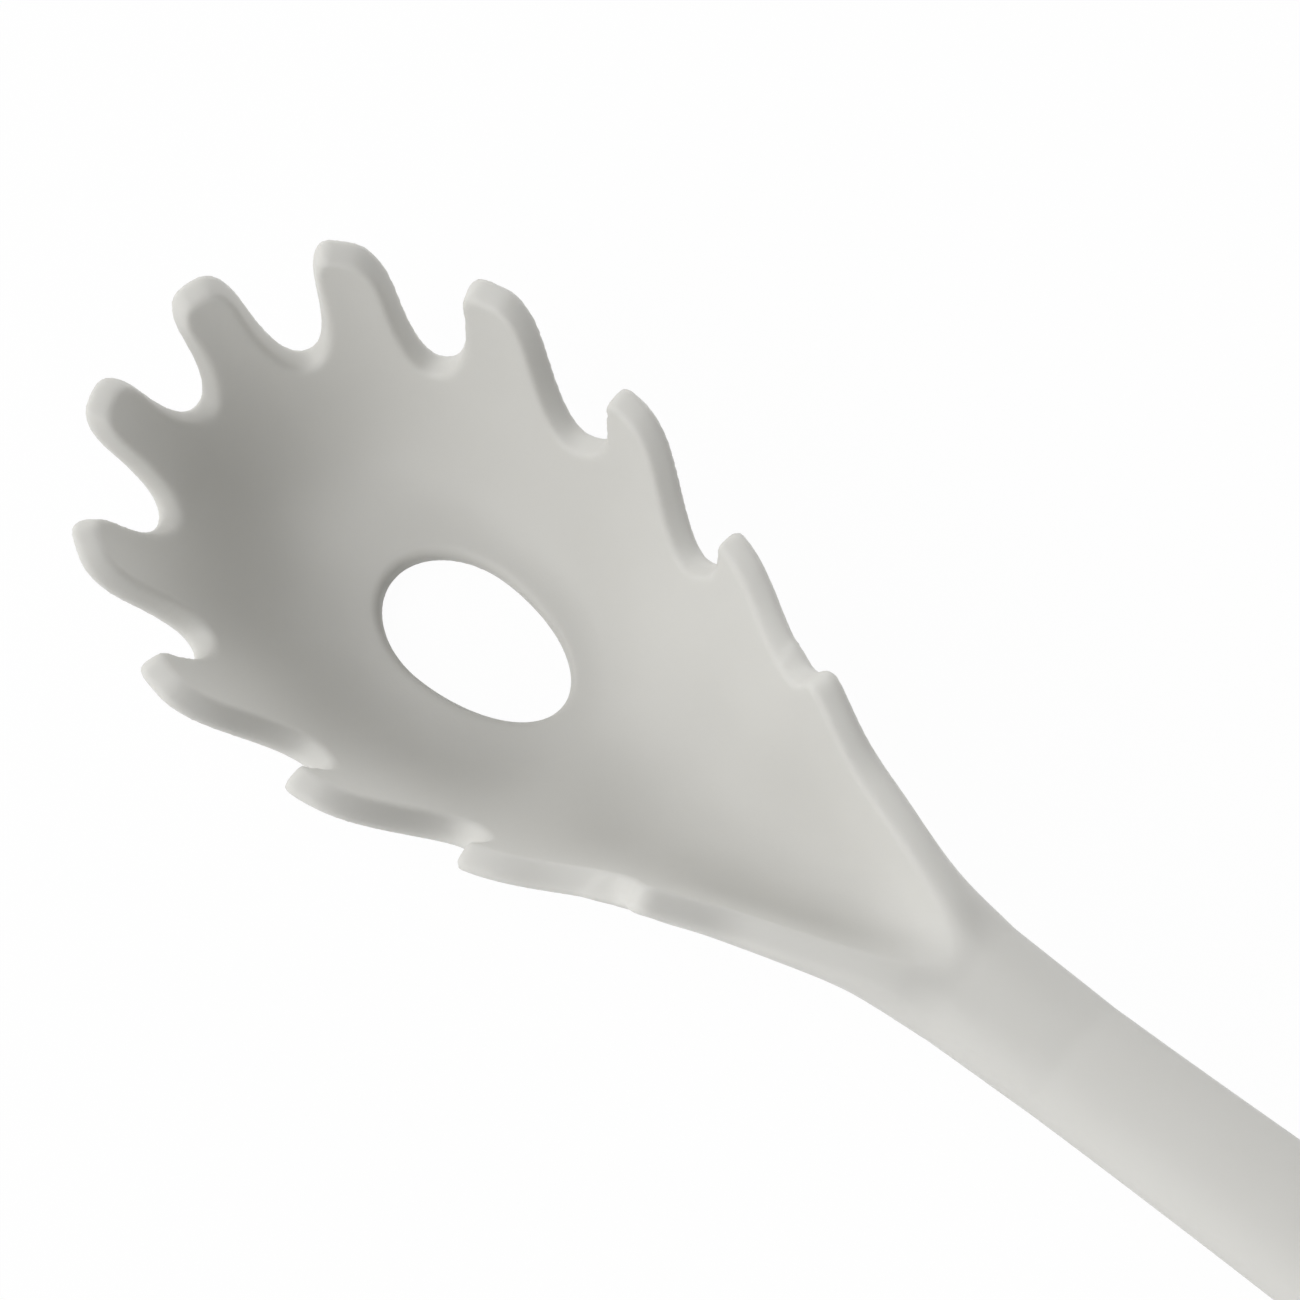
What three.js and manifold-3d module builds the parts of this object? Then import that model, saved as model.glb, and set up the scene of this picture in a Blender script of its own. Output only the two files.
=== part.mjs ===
// Pasta server: a silicone scoop with ten tines and a drain hole, moulded over a stiff core and stem
import * as THREE from 'three';
import { mergeVertices } from 'three/addons/utils/BufferGeometryUtils.js';
import { TessellateModifier } from 'three/addons/modifiers/TessellateModifier.js';
import Module from 'manifold-3d';

const wasm = await Module();
wasm.setup();

// Scoop wall: silicone, space for the core, silicone
const skin = 0.9;
const coreSpace = 1.5;
const wall = skin + coreSpace + skin;
const coreGap = 0.25;

// Scoop: rim above the inner floor, flat part of the floor, and how sharply the wall turns up
const rimHeight = 25.3;
const rimSlope = 0.087;
const rimSlopeStart = 30;
const floorToTip = 20;
const floorToNeck = 17;
const floorHalfWidth = 11.5;
const wallCurveTip = 2.6;
const wallCurveSide = 1.75;
const wallCurveNeck = 1.25;

// Half of the rim seen from above, from the far end of the scoop to the end of the channel in the neck
const rimPoints = [
  [-43.4, 0], [-41.8, 7.9], [-32.6, 20.3], [-17.2, 26.8], [4.5, 26.5], [26, 21],
  [40.6, 13.6], [53.9, 9.3], [63.1, 6.4], [68.6, 4.6], [74, 2.4], [76.3, 0],
];

// Channel into the neck: place, depth of its floor under the rim of the scoop, half width at the rim
const channelSections = [
  [8, 25.3, 25.9], [17, 24.9, 24], [24, 23.2, 21.7], [30, 20.7, 19.2], [40, 16.1, 13.9], [50, 11.1, 10.5],
  [60, 5.1, 7.3], [66, 0.8, 5.3], [70, -1.6, 3.9], [74, -3.2, 2.9], [78, -4, 2.6], [82, -4.6, 2.6],
  [92, -5.9, 2.6],
];
const channelCurve = 2.3;
const channelStart = 12;
const channelFull = 34;

// Tines on one side, from the far end to the neck: corners of each at its root and tip, seen from above
const tines = [
  { frontRoot: [-38.3, 1.75], frontTip: [-43.7, 4.35], rearTip: [-41.25, 11.05], rearRoot: [-34.9, 9.9] },
  { frontRoot: [-32.1, 13.15], frontTip: [-35.65, 18.95], rearTip: [-29.25, 23.15], rearRoot: [-23.1, 19.1] },
  { frontRoot: [-18.55, 21.55], frontTip: [-20.15, 26.5], rearTip: [-12.35, 28.1], rearRoot: [-4.15, 22.15] },
  { frontRoot: [2.2, 23.2], frontTip: [1.05, 27.1], rearTip: [8.4, 26.25], rearRoot: [17.05, 19.05] },
  { frontRoot: [22.15, 19.15], frontTip: [21.55, 22.25], rearTip: [26.9, 20.75], rearRoot: [34.25, 16.4] },
];
const shoulder = [[40.2, 13.3], [41.4, 14.7]];
const neckEdge = [[51.6, 10.3], [52, 0]];
const frontRootRounding = 2.2;
const frontTipRounding = 2.2;
const rearTipRounding = 2.6;
const rearRootRounding = 4;
const neckRounding = 1.6;

// Drain hole: an egg with its blunt end towards the tip of the scoop
const drainCentre = -2.3;
const drainToTip = 10.9;
const drainToNeck = 15.2;
const drainHalfWidth = 7.5;

// Neck: distance along the scoop, half width, depths of the widest line, top and keel under the rim of the
// scoop, and squareness of the keel
const neckSections = [
  [38.5, 15.2, 2.8, 0.8, 20.7, 1.3],
  [44, 15.1, 2.7, -1.1, 18.3, 1.4],
  [50, 13.5, 1.1, -1.9, 15.6, 1.55],
  [58, 10.9, 0.1, -2.5, 11.8, 1.8],
  [66, 8.9, 0.7, -3.6, 9.6, 2],
  [76, 7.6, 1.7, -3.7, 7.7, 2.2],
];

// Handle: straight, a little upward, widening to a rounded end with a hole to hang it by
const handleStart = 90;
const handleEnd = 276;
const handleUnderRim = 0.7;
const handleSlope = 0.155;
const handleStartHalfWidth = 7.1;
const handleEndHalfWidth = 11;
const handleStartHalfThickness = 5.2;
const handleEndHalfThickness = 5.2;
const handleSquareness = 2.2;
const handleKeelSquareness = 3.4;
const handleEndRounding = 14;
const handleEndFlatness = 0.35;
const hangHoleRadius = 4.5;
const hangHoleFromEnd = 14;

// Core of the scoop: a dish with a finger in every tine and a socket block in the neck
const coreReach = 0.84;
const fingerReach = 0.62;
const fingerHalfWidth = 1.1;
const coreDrainMargin = 2.4;
const tongueEnd = 68.5;
const tongueHalfWidth = 1.8;
const blockStart = 66;
const blockLength = 28;
const blockWidth = 9;
const blockThickness = 5;

// Stem: a flat bar in the handle, pushed into the socket block
const stemWidth = 6;
const stemThickness = 2.4;
const stemInSocket = 14;
const stemEnd = 250;
const socketGap = 0.15;

// Holes under the handle left by the pins that held the stem in the mould
const pinHoleRadius = 1.5;
const pinHolePlaces = [125, 215];

// How far a cut runs past the face it opens, and how far the space over the scoop runs past its rim
const cutPast = 1;
const mouthSpread = 1.12;
const mouthAbove = 20;

// Fineness of the facets
const wallFacet = 5.5;
const coreFacet = 5;
const mostSplits = 40;
const ringPoints = 36;
const curvePoints = 4;
const holePoints = 24;
const hollowSpokes = 64;
const hollowRings = 7;
const handleSteps = 6;
const endSteps = 7;
const neckSteps = 3;
const rimSteps = 24;

// Points nearer to each other than this are one point
const weld = 1e-4;

const mirrorY = ([x, y]) => [x, -y];
const lerp = (a, b, t) => a + (b - a) * t;
const between = (p, q, t) => [lerp(p[0], q[0], t), lerp(p[1], q[1], t)];

// The rim as a closed curve, kept as its distance from the middle of the scoop at each angle
const rimLoop = rimPoints.concat(rimPoints.slice(1, -1).reverse().map(mirrorY));
const rimCurve = new THREE.CatmullRomCurve3(
  rimLoop.map(([x, y]) => new THREE.Vector3(x, y, 0)), true, 'centripetal');
const rimTable = rimCurve.getPoints(rimLoop.length * rimSteps).slice(1)
  .map((p) => ({ angle: Math.atan2(p.y, p.x), radius: Math.hypot(p.x, p.y) }))
  .sort((a, b) => a.angle - b.angle);

function rimRadius(angle) {
  const last = rimTable.length - 1;
  let low = 0;
  let high = last;
  if (angle <= rimTable[0].angle) return rimTable[0].radius;
  if (angle >= rimTable[last].angle) return rimTable[last].radius;
  while (high - low > 1) {
    const middle = (low + high) >> 1;
    if (rimTable[middle].angle > angle) high = middle;
    else low = middle;
  }
  const share = (angle - rimTable[low].angle) / (rimTable[high].angle - rimTable[low].angle);
  return lerp(rimTable[low].radius, rimTable[high].radius, share);
}

// Distance from the middle of the scoop to the edge of its flat floor
function floorRadius(angle) {
  const c = Math.cos(angle);
  return 1 / Math.hypot(c / (c < 0 ? floorToTip : floorToNeck), Math.sin(angle) / floorHalfWidth);
}

// Height of the inner face of the round bowl above its flat floor
function bowlHeight(x, y) {
  const angle = Math.atan2(y, x);
  const c = Math.cos(angle);
  const floor = floorRadius(angle);
  const rim = rimRadius(angle);
  const share = Math.max(0, (Math.hypot(x, y) - floor) / (rim - floor));
  const top = rimHeight + rimSlope * Math.max(0, rim * c - rimSlopeStart);
  const curve = wallCurveSide + (wallCurveTip - wallCurveSide) * Math.max(0, -c) ** 2
    + (wallCurveNeck - wallCurveSide) * Math.max(0, c) ** 3;
  return top * share ** curve;
}

// Height of the inner face of the channel
function channelHeight(x, y) {
  const last = channelSections.length - 2;
  const found = channelSections.findIndex(([place]) => place > x) - 1;
  const near = found < -1 ? last : Math.max(0, found);
  const [start, startDepth, startHalf] = channelSections[near];
  const [end, endDepth, endHalf] = channelSections[near + 1];
  const share = THREE.MathUtils.clamp((x - start) / (end - start), 0, 1);
  const floor = Math.max(0, rimHeight - lerp(startDepth, endDepth, share));
  const top = Math.max(floor, rimHeight + rimSlope * Math.max(0, x - rimSlopeStart));
  return floor + (top - floor) * (Math.abs(y) / lerp(startHalf, endHalf, share)) ** channelCurve;
}

// Height of the inner face: the bowl runs out into the channel
function innerHeight(x, y) {
  const share = THREE.MathUtils.smoothstep(x, channelStart, channelFull);
  return lerp(bowlHeight(x, y), channelHeight(x, y), share);
}

// A point at a depth under the inner face, measured square to it
function wallPoint(x, y, depth) {
  const step = 0.05;
  const slopeX = (innerHeight(x + step, y) - innerHeight(x - step, y)) / (2 * step);
  const slopeY = (innerHeight(x, y + step) - innerHeight(x, y - step)) / (2 * step);
  const normal = new THREE.Vector3(-slopeX, -slopeY, 1).normalize();
  return new THREE.Vector3(x, y, innerHeight(x, y)).addScaledVector(normal, -depth);
}

// Closed polygon with its corners rounded, each over at most a share of the sides beside it
const mostRounded = 0.48;
function roundedShape(corners, roundings) {
  const shape = new THREE.Shape();
  corners.forEach((corner, i) => {
    const before = corners[(i + corners.length - 1) % corners.length];
    const after = corners[(i + 1) % corners.length];
    const distance = (other) => Math.hypot(other[0] - corner[0], other[1] - corner[1]);
    const share = (other) => Math.min(mostRounded, roundings[i] / distance(other));
    const start = between(corner, before, share(before));
    const end = between(corner, after, share(after));
    if (i === 0) shape.moveTo(...start);
    else shape.lineTo(...start);
    shape.quadraticCurveTo(...corner, ...end);
  });
  shape.closePath();
  return shape;
}

// Drain hole, made larger by a margin
function eggPath(margin) {
  const path = new THREE.Path();
  const quarter = Math.PI / 2;
  const halfWidth = drainHalfWidth + margin;
  for (let turn = 0; turn < 4; turn += 1) {
    const length = (turn === 1 || turn === 2 ? drainToTip : drainToNeck) + margin;
    path.absellipse(drainCentre, 0, length, halfWidth, turn * quarter, (turn + 1) * quarter, false, 0);
  }
  return path;
}

// Flat shape cut into facets no longer than a length
function facetShape(shape, facet) {
  let flat = new THREE.ShapeGeometry(shape, curvePoints);
  flat.deleteAttribute('normal');
  flat.deleteAttribute('uv');
  flat = new TessellateModifier(facet, mostSplits).modify(flat);
  flat = mergeVertices(flat, weld);
  const places = [];
  for (let i = 0; i < flat.attributes.position.count; i += 1) {
    places.push(new THREE.Vector2().fromBufferAttribute(flat.attributes.position, i));
  }
  return { places, index: flat.index.array };
}

// Flat round shape cut into rings from the edge of the floor to the mouth, with spokes to the rim
function facetMouth() {
  const places = [new THREE.Vector2(0, 0)];
  const index = [];
  const rim = rimCurve.getSpacedPoints(hollowSpokes);
  for (let ring = 0; ring <= hollowRings; ring += 1) {
    for (let k = 0; k < hollowSpokes; k += 1) {
      const angle = Math.atan2(rim[k].y, rim[k].x);
      const reach = lerp(floorRadius(angle), mouthSpread * rimRadius(angle), ring / hollowRings);
      places.push(new THREE.Vector2(reach * Math.cos(angle), reach * Math.sin(angle)));
    }
  }
  for (let k = 0; k < hollowSpokes; k += 1) {
    const next = (k + 1) % hollowSpokes;
    index.push(0, 1 + next, 1 + k);
    for (let ring = 0; ring < hollowRings; ring += 1) {
      const near = 1 + ring * hollowSpokes;
      const far = near + hollowSpokes;
      index.push(near + k, near + next, far + k, near + next, far + next, far + k);
    }
  }
  return { places, index };
}

// Solid between two faces over a flat mesh; each face is a function of the place on the mesh.
// A growth moves the edge of the mesh outwards and leaves its facets as they are.
function solidOver(flat, upper, lower, growth = 0) {
  const { index } = flat;
  const places = flat.places.map((place) => place.clone());
  const count = places.length;
  const triangles = [];
  const edges = new Map();
  for (let i = 0; i < index.length; i += 3) {
    const [a, b, c] = [index[i], index[i + 1], index[i + 2]];
    if (a === b || b === c || c === a) continue;
    triangles.push(a, b, c, count + a, count + c, count + b);
    for (const [p, q] of [[a, b], [b, c], [c, a]]) {
      if (!edges.delete(`${q} ${p}`)) edges.set(`${p} ${q}`, [p, q]);
    }
  }
  const outward = places.map(() => new THREE.Vector2());
  for (const [p, q] of edges.values()) {
    const along = places[q].clone().sub(places[p]).normalize();
    outward[p].add(new THREE.Vector2(along.y, -along.x));
    outward[q].add(new THREE.Vector2(along.y, -along.x));
    triangles.push(p, count + p, count + q, p, count + q, q);
  }
  places.forEach((place, i) => place.addScaledVector(outward[i].normalize(), growth));
  const points = [upper, lower].flatMap((face) => places.map((place) => face(place.x, place.y)));
  return toManifold(points, triangles);
}

function toManifold(points, triangles) {
  const vertProperties = new Float32Array(points.flatMap((p) => [p.x, p.y, p.z]));
  const mesh = new wasm.Mesh({ numProp: 3, vertProperties, triVerts: new Uint32Array(triangles) });
  mesh.merge();
  return new wasm.Manifold(mesh);
}

function geometryToManifold(geometry, matrix) {
  const bare = geometry.clone().applyMatrix4(matrix);
  bare.deleteAttribute('normal');
  bare.deleteAttribute('uv');
  const merged = mergeVertices(bare, weld);
  const place = merged.attributes.position;
  const points = [];
  for (let i = 0; i < place.count; i += 1) {
    points.push(new THREE.Vector3().fromBufferAttribute(place, i));
  }
  return toManifold(points, Array.from(merged.index.array));
}

// Body swept through cross sections and closed to a point at its far end. Each section has its place, half
// width, depths under the rim of the widest line, the top and the keel, and the squareness of the keel.
function sectionBody(sections, farEnd) {
  const points = [];
  const triangles = [];
  const rounded = (value, squareness) => Math.sign(value) * Math.abs(value) ** (2 / squareness);
  for (const [x, halfWidth, middle, top, keel, squareness] of sections) {
    const level = rimHeight - middle;
    for (let k = 0; k < ringPoints; k += 1) {
      const angle = (2 * Math.PI * (k + 0.5)) / ringPoints;
      const s = Math.sin(angle);
      const power = s >= 0 ? handleSquareness : squareness;
      const reach = s >= 0 ? middle - top : keel - middle;
      const y = halfWidth * rounded(Math.cos(angle), power);
      points.push(new THREE.Vector3(x, y, level + reach * rounded(s, power)));
    }
  }
  for (let i = 0; i + 1 < sections.length; i += 1) {
    for (let k = 0; k < ringPoints; k += 1) {
      const a = i * ringPoints + k;
      const b = i * ringPoints + ((k + 1) % ringPoints);
      triangles.push(a, b, a + ringPoints, b, b + ringPoints, a + ringPoints);
    }
  }
  const first = points.length;
  const [start, , startMiddle] = sections[0];
  const [, , endMiddle] = sections[sections.length - 1];
  points.push(new THREE.Vector3(start, 0, rimHeight - startMiddle));
  points.push(new THREE.Vector3(farEnd, 0, rimHeight - endMiddle));
  const lastRing = (sections.length - 1) * ringPoints;
  for (let k = 0; k < ringPoints; k += 1) {
    const next = (k + 1) % ringPoints;
    triangles.push(first, next, k, first + 1, lastRing + k, lastRing + next);
  }
  return toManifold(points, triangles);
}

const handleHeight = (x) => rimHeight - handleUnderRim + handleSlope * (x - handleStart);

// Handle sections, closing to a rounded end
function handleSections() {
  const sections = [];
  const straight = handleEnd - handleEndRounding;
  for (let i = 0; i <= handleSteps; i += 1) {
    const share = i / handleSteps;
    const smooth = share * share * (3 - 2 * share);
    sections.push([
      lerp(handleStart, straight, share),
      lerp(handleStartHalfWidth, handleEndHalfWidth, smooth),
      lerp(handleStartHalfThickness, handleEndHalfThickness, smooth),
      lerp(handleSquareness, handleKeelSquareness, smooth),
    ]);
  }
  for (let i = 1; i < endSteps; i += 1) {
    const angle = (Math.PI / 2) * (i / endSteps);
    sections.push([
      straight + handleEndRounding * Math.sin(angle),
      handleEndHalfWidth * Math.cos(angle),
      handleEndHalfThickness * Math.cos(angle) ** handleEndFlatness,
      handleKeelSquareness,
    ]);
  }
  return sections.map(([x, halfWidth, halfThickness, squareness]) => {
    const middle = rimHeight - handleHeight(x);
    return [x, halfWidth, middle, middle - halfThickness, middle + halfThickness, squareness];
  });
}

// Smooth run of sections between the given ones
function smoothSections(sections, steps) {
  const out = [];
  const value = (i, k) => sections[Math.min(sections.length - 1, Math.max(0, i))][k];
  for (let i = 0; i + 1 < sections.length; i += 1) {
    for (let j = 0; j < steps; j += 1) {
      const t = j / steps;
      out.push(sections[i].map((unused, k) => {
        const [p, q, r, s] = [value(i - 1, k), value(i, k), value(i + 1, k), value(i + 2, k)];
        return q + 0.5 * t * (r - p + t * (2 * p - 5 * q + 4 * r - s + t * (3 * (q - r) + s - p)));
      }));
    }
  }
  out.push(sections[sections.length - 1]);
  return out;
}

// Box along the handle, its lower face at a height over the line of the handle
function handleBox(start, end, width, bottom, top) {
  const tilt = Math.atan(handleSlope);
  const length = (end - start) / Math.cos(tilt);
  const geometry = new THREE.BoxGeometry(length, width, top - bottom);
  const frame = new THREE.Matrix4().makeTranslation(start, 0, handleHeight(start))
    .multiply(new THREE.Matrix4().makeRotationY(-tilt))
    .multiply(new THREE.Matrix4().makeTranslation(length / 2, 0, (top + bottom) / 2));
  return geometryToManifold(geometry, frame);
}

// Round bar square to the handle
function handleBar(x, radius, bottom, top) {
  const geometry = new THREE.CylinderGeometry(radius, radius, top - bottom, holePoints);
  const frame = new THREE.Matrix4().makeTranslation(x, 0, handleHeight(x))
    .multiply(new THREE.Matrix4().makeRotationY(-Math.atan(handleSlope)))
    .multiply(new THREE.Matrix4().makeTranslation(0, 0, (top + bottom) / 2))
    .multiply(new THREE.Matrix4().makeRotationX(Math.PI / 2));
  return geometryToManifold(geometry, frame);
}

// Outline of the scoop wall with its tines, run round both sides
function scoopShape() {
  const side = [];
  for (const tine of tines) {
    side.push([tine.frontRoot, frontRootRounding], [tine.frontTip, frontTipRounding]);
    side.push([tine.rearTip, rearTipRounding], [tine.rearRoot, rearRootRounding]);
  }
  [...shoulder, neckEdge[0]].forEach((corner) => side.push([corner, neckRounding]));
  const otherSide = side.map(([corner, rounding]) => [mirrorY(corner), rounding]);
  const loop = [...otherSide, [neckEdge[1], neckRounding], ...side.reverse()];
  const shape = roundedShape(loop.map(([corner]) => corner), loop.map(([, rounding]) => rounding));
  shape.holes.push(eggPath(0));
  return shape;
}

// Outline of the core: a dish with a finger towards each tine and a tongue up the neck
function coreShape() {
  const side = [];
  for (const tine of tines) {
    const root = between(tine.frontRoot, tine.rearRoot, 0.5);
    const tip = between(root, between(tine.frontTip, tine.rearTip, 0.5), fingerReach);
    const base = [root[0] * coreReach, root[1] * coreReach];
    const along = new THREE.Vector2(tip[0] - base[0], tip[1] - base[1]).setLength(fingerHalfWidth);
    const across = [-along.y, along.x];
    side.push([base[0] - across[0], base[1] - across[1]], [tip[0] - across[0], tip[1] - across[1]]);
    side.push([tip[0] + across[0], tip[1] + across[1]], [base[0] + across[0], base[1] + across[1]]);
  }
  side.push([tongueEnd, tongueHalfWidth]);
  const ordered = orderByAngle(side);
  const loop = [...ordered.map(mirrorY), ...ordered.slice().reverse()];
  const shape = new THREE.Shape(loop.map(([x, y]) => new THREE.Vector2(x, y)));
  shape.holes.push(eggPath(coreDrainMargin));
  return shape;
}

// Finger corners run from the far end to the neck; each finger is turned so that it is met in that order
function orderByAngle(corners) {
  const out = [];
  for (let i = 0; i + 3 < corners.length; i += 4) {
    const finger = corners.slice(i, i + 4);
    const angle = ([x, y]) => Math.atan2(y, x);
    if (angle(finger[1]) < angle(finger[2])) finger.reverse();
    out.push(...finger);
  }
  out.push(corners[corners.length - 1]);
  return out;
}

// Space over the inner face of the scoop
function scoopHollow() {
  const above = rimHeight + mouthAbove;
  const ceiling = (x, y) => new THREE.Vector3(x, y, Math.max(above, innerHeight(x, y) + cutPast));
  return solidOver(facetMouth(), ceiling, (x, y) => wallPoint(x, y, 0));
}

// Largest piece of a solid, without the splinters that a cut can leave
function mainPiece(solid) {
  const pieces = solid.decompose();
  return pieces.reduce((best, piece) => (piece.volume() > best.volume() ? piece : best));
}

function material(color, roughness, metalness) {
  return new THREE.MeshStandardMaterial({ color, roughness, metalness });
}

function meshOf(name, solid, look) {
  const mesh = solid.getMesh();
  const geometry = new THREE.BufferGeometry();
  geometry.setAttribute('position', new THREE.BufferAttribute(mesh.vertProperties, 3));
  geometry.setIndex(new THREE.BufferAttribute(mesh.triVerts, 1));
  geometry.computeVertexNormals();
  const node = new THREE.Mesh(geometry, look);
  node.name = name;
  return node;
}

const wallBody = solidOver(facetShape(scoopShape(), wallFacet),
  (x, y) => wallPoint(x, y, -cutPast), (x, y) => wallPoint(x, y, wall));
const handleBody = sectionBody([...smoothSections(neckSections, neckSteps), ...handleSections()], handleEnd);

const coreLayer = (upper, lower, growth) => solidOver(facetShape(coreShape(), coreFacet),
  (x, y) => wallPoint(x, y, upper), (x, y) => wallPoint(x, y, lower), growth);
const blockTop = blockThickness / 2;
const blockEnd = blockStart + blockLength;
const stemTop = stemThickness / 2;
const stemStart = blockEnd - stemInSocket;

const blockRoom = handleBox(blockStart - coreGap, blockEnd + coreGap,
  blockWidth + 2 * coreGap, -blockTop, blockTop + coreGap);
const stemRoom = handleBox(blockEnd, stemEnd + coreGap,
  stemWidth + 2 * coreGap, -stemTop, stemTop + coreGap);
const coreRoom = coreLayer(skin, wall - skin, coreGap).add(blockRoom).add(stemRoom);

const handleCut = Math.max(handleStartHalfThickness, handleEndHalfThickness) + cutPast;
let body = wallBody.add(handleBody).subtract(scoopHollow()).subtract(coreRoom);
body = body.subtract(handleBar(handleEnd - hangHoleFromEnd, hangHoleRadius, -handleCut, handleCut));
for (const place of pinHolePlaces) {
  body = body.subtract(handleBar(place, pinHoleRadius, -handleCut, 0));
}

const block = handleBox(blockStart, blockEnd, blockWidth, -blockTop, blockTop);
const socket = handleBox(stemStart - socketGap, blockEnd + cutPast,
  stemWidth + 2 * socketGap, -stemTop, stemTop + socketGap);
const core = coreLayer(skin + coreGap, wall - skin - coreGap, 0).add(block).subtract(socket);

const stem = handleBox(stemStart, stemEnd, stemWidth, -stemTop, stemTop);

const group = new THREE.Group();
group.name = 'pasta_server';
group.add(meshOf('silicone_body', mainPiece(body), material(0xc9c7c0, 0.55, 0)));
group.add(meshOf('scoop_core', mainPiece(core), material(0xb9b7ae, 0.5, 0)));
group.add(meshOf('handle_stem', stem, material(0xb8bbbd, 0.3, 1)));

// Rests with the lowest point on the ground and the middle of its length over the origin
const box = new THREE.Box3().setFromObject(group);
group.position.set(-(box.min.x + box.max.x) / 2, 0, -box.min.z);

export default group;
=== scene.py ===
# Pasta server: looks of the silicone body with its soft edges, and a plain white studio
import math
import bpy
import numpy as np
from mathutils import Matrix, Vector


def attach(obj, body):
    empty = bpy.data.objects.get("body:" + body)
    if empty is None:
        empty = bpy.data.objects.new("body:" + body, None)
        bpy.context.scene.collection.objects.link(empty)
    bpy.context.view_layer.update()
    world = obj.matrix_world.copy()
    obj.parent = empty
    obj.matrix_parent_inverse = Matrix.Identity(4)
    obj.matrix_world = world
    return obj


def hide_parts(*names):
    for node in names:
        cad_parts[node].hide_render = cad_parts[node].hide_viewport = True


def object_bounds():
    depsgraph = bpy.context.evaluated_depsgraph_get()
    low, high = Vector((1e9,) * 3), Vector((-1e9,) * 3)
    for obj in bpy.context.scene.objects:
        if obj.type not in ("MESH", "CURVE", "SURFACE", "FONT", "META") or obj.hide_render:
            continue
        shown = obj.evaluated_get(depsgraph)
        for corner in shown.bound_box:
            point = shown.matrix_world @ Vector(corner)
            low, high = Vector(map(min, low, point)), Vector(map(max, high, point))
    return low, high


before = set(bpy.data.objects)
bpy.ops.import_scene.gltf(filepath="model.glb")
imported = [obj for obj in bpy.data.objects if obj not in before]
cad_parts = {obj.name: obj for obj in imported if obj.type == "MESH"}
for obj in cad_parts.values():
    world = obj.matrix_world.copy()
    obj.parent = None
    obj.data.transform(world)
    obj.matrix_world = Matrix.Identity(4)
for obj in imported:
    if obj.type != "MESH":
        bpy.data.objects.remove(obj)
cad_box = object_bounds()

# Sizes in millimetres, in a frame with the middle of the scoop's inner floor at the origin
WALL = 3.3
RIM_HEIGHT = 25.3
RIM_SLOPE = 0.087
RIM_SLOPE_START = 30.0
FLOOR_TO_TIP = 20.0
FLOOR_TO_NECK = 17.0
FLOOR_HALF_WIDTH = 11.5
WALL_CURVE_TIP = 2.6
WALL_CURVE_SIDE = 1.75
WALL_CURVE_NECK = 1.25

# Half of the rim seen from above, from the far end to the end of the channel in the neck
RIM_POINTS = [
    (-43.4, 0), (-41.8, 7.9), (-32.6, 20.3), (-17.2, 26.8), (4.5, 26.5), (26, 21),
    (40.6, 13.6), (53.9, 9.3), (63.1, 6.4), (68.6, 4.6), (74, 2.4), (76.3, 0),
]

# Channel into the neck: place, height of its floor, half width at the rim
CHANNEL = [
    (8, 0, 25.9), (17, 0.4, 24), (24, 2.1, 21.7), (30, 4.6, 19.2), (40, 9.2, 13.9), (50, 14.2, 10.5),
    (60, 20.2, 7.3), (66, 24.5, 5.3), (70, 26.9, 3.9), (74, 28.5, 2.9), (78, 29.3, 2.6), (82, 29.9, 2.6),
    (92, 31.2, 2.6),
]
CHANNEL_CURVE = 2.3
# Where the bowl starts to run out into the channel, and where it is all channel
CHANNEL_START = 12.0
CHANNEL_FULL = 34.0

# Corners of the tines on one side: front root, front tip, rear tip, rear root
TINES = [
    ((-38.3, 1.75), (-43.9, 4.15), (-41.3, 11.2), (-34.9, 9.9)),
    ((-32.1, 13.15), (-35.9, 18.95), (-29.15, 23.25), (-23.1, 19.1)),
    ((-18.55, 21.55), (-20.35, 26.6), (-12.2, 28.15), (-4.15, 22.15)),
    ((2.2, 23.2), (0.85, 27.25), (8.55, 26.25), (17.05, 19.05)),
    ((22.15, 19.15), (21.35, 22.45), (27, 20.7), (34.25, 16.4)),
]
# Roundings of those corners, in the same order
TINE_ROUNDINGS = (2.4, 3.2, 3.4, 4.4)

# Edge of the neck on one side, from the notch behind the last tine to the end of the channel
NECK_SIDE = [(39.4, 13.9), (42.6, 14.7), (52.2, 10.0), (63.2, 6.4), (72.0, 3.4), (76.0, 0.0)]
NECK_SIDE_ROUNDING = 2.4

# Drain hole: an egg with its blunt end towards the tip of the scoop
DRAIN_CENTRE = -2.3
DRAIN_TO_TIP = 11.05
DRAIN_TO_NECK = 15.3
DRAIN_HALF_WIDTH = 7.65

# Neck: place, half width, depths of the widest line, top and keel under the rim, squareness of the keel
NECK = [
    (38.5, 15.2, 2.8, 0.8, 20.7, 1.3),
    (44.0, 14.7, 2.7, -1.1, 18.3, 1.4),
    (50.0, 12.6, 1.1, -1.9, 15.6, 1.55),
    (58.0, 10.5, 0.1, -2.5, 11.8, 1.8),
    (66.0, 8.75, 0.7, -3.6, 9.6, 2.0),
    (76.0, 7.6, 1.7, -3.7, 7.7, 2.2),
]

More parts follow.
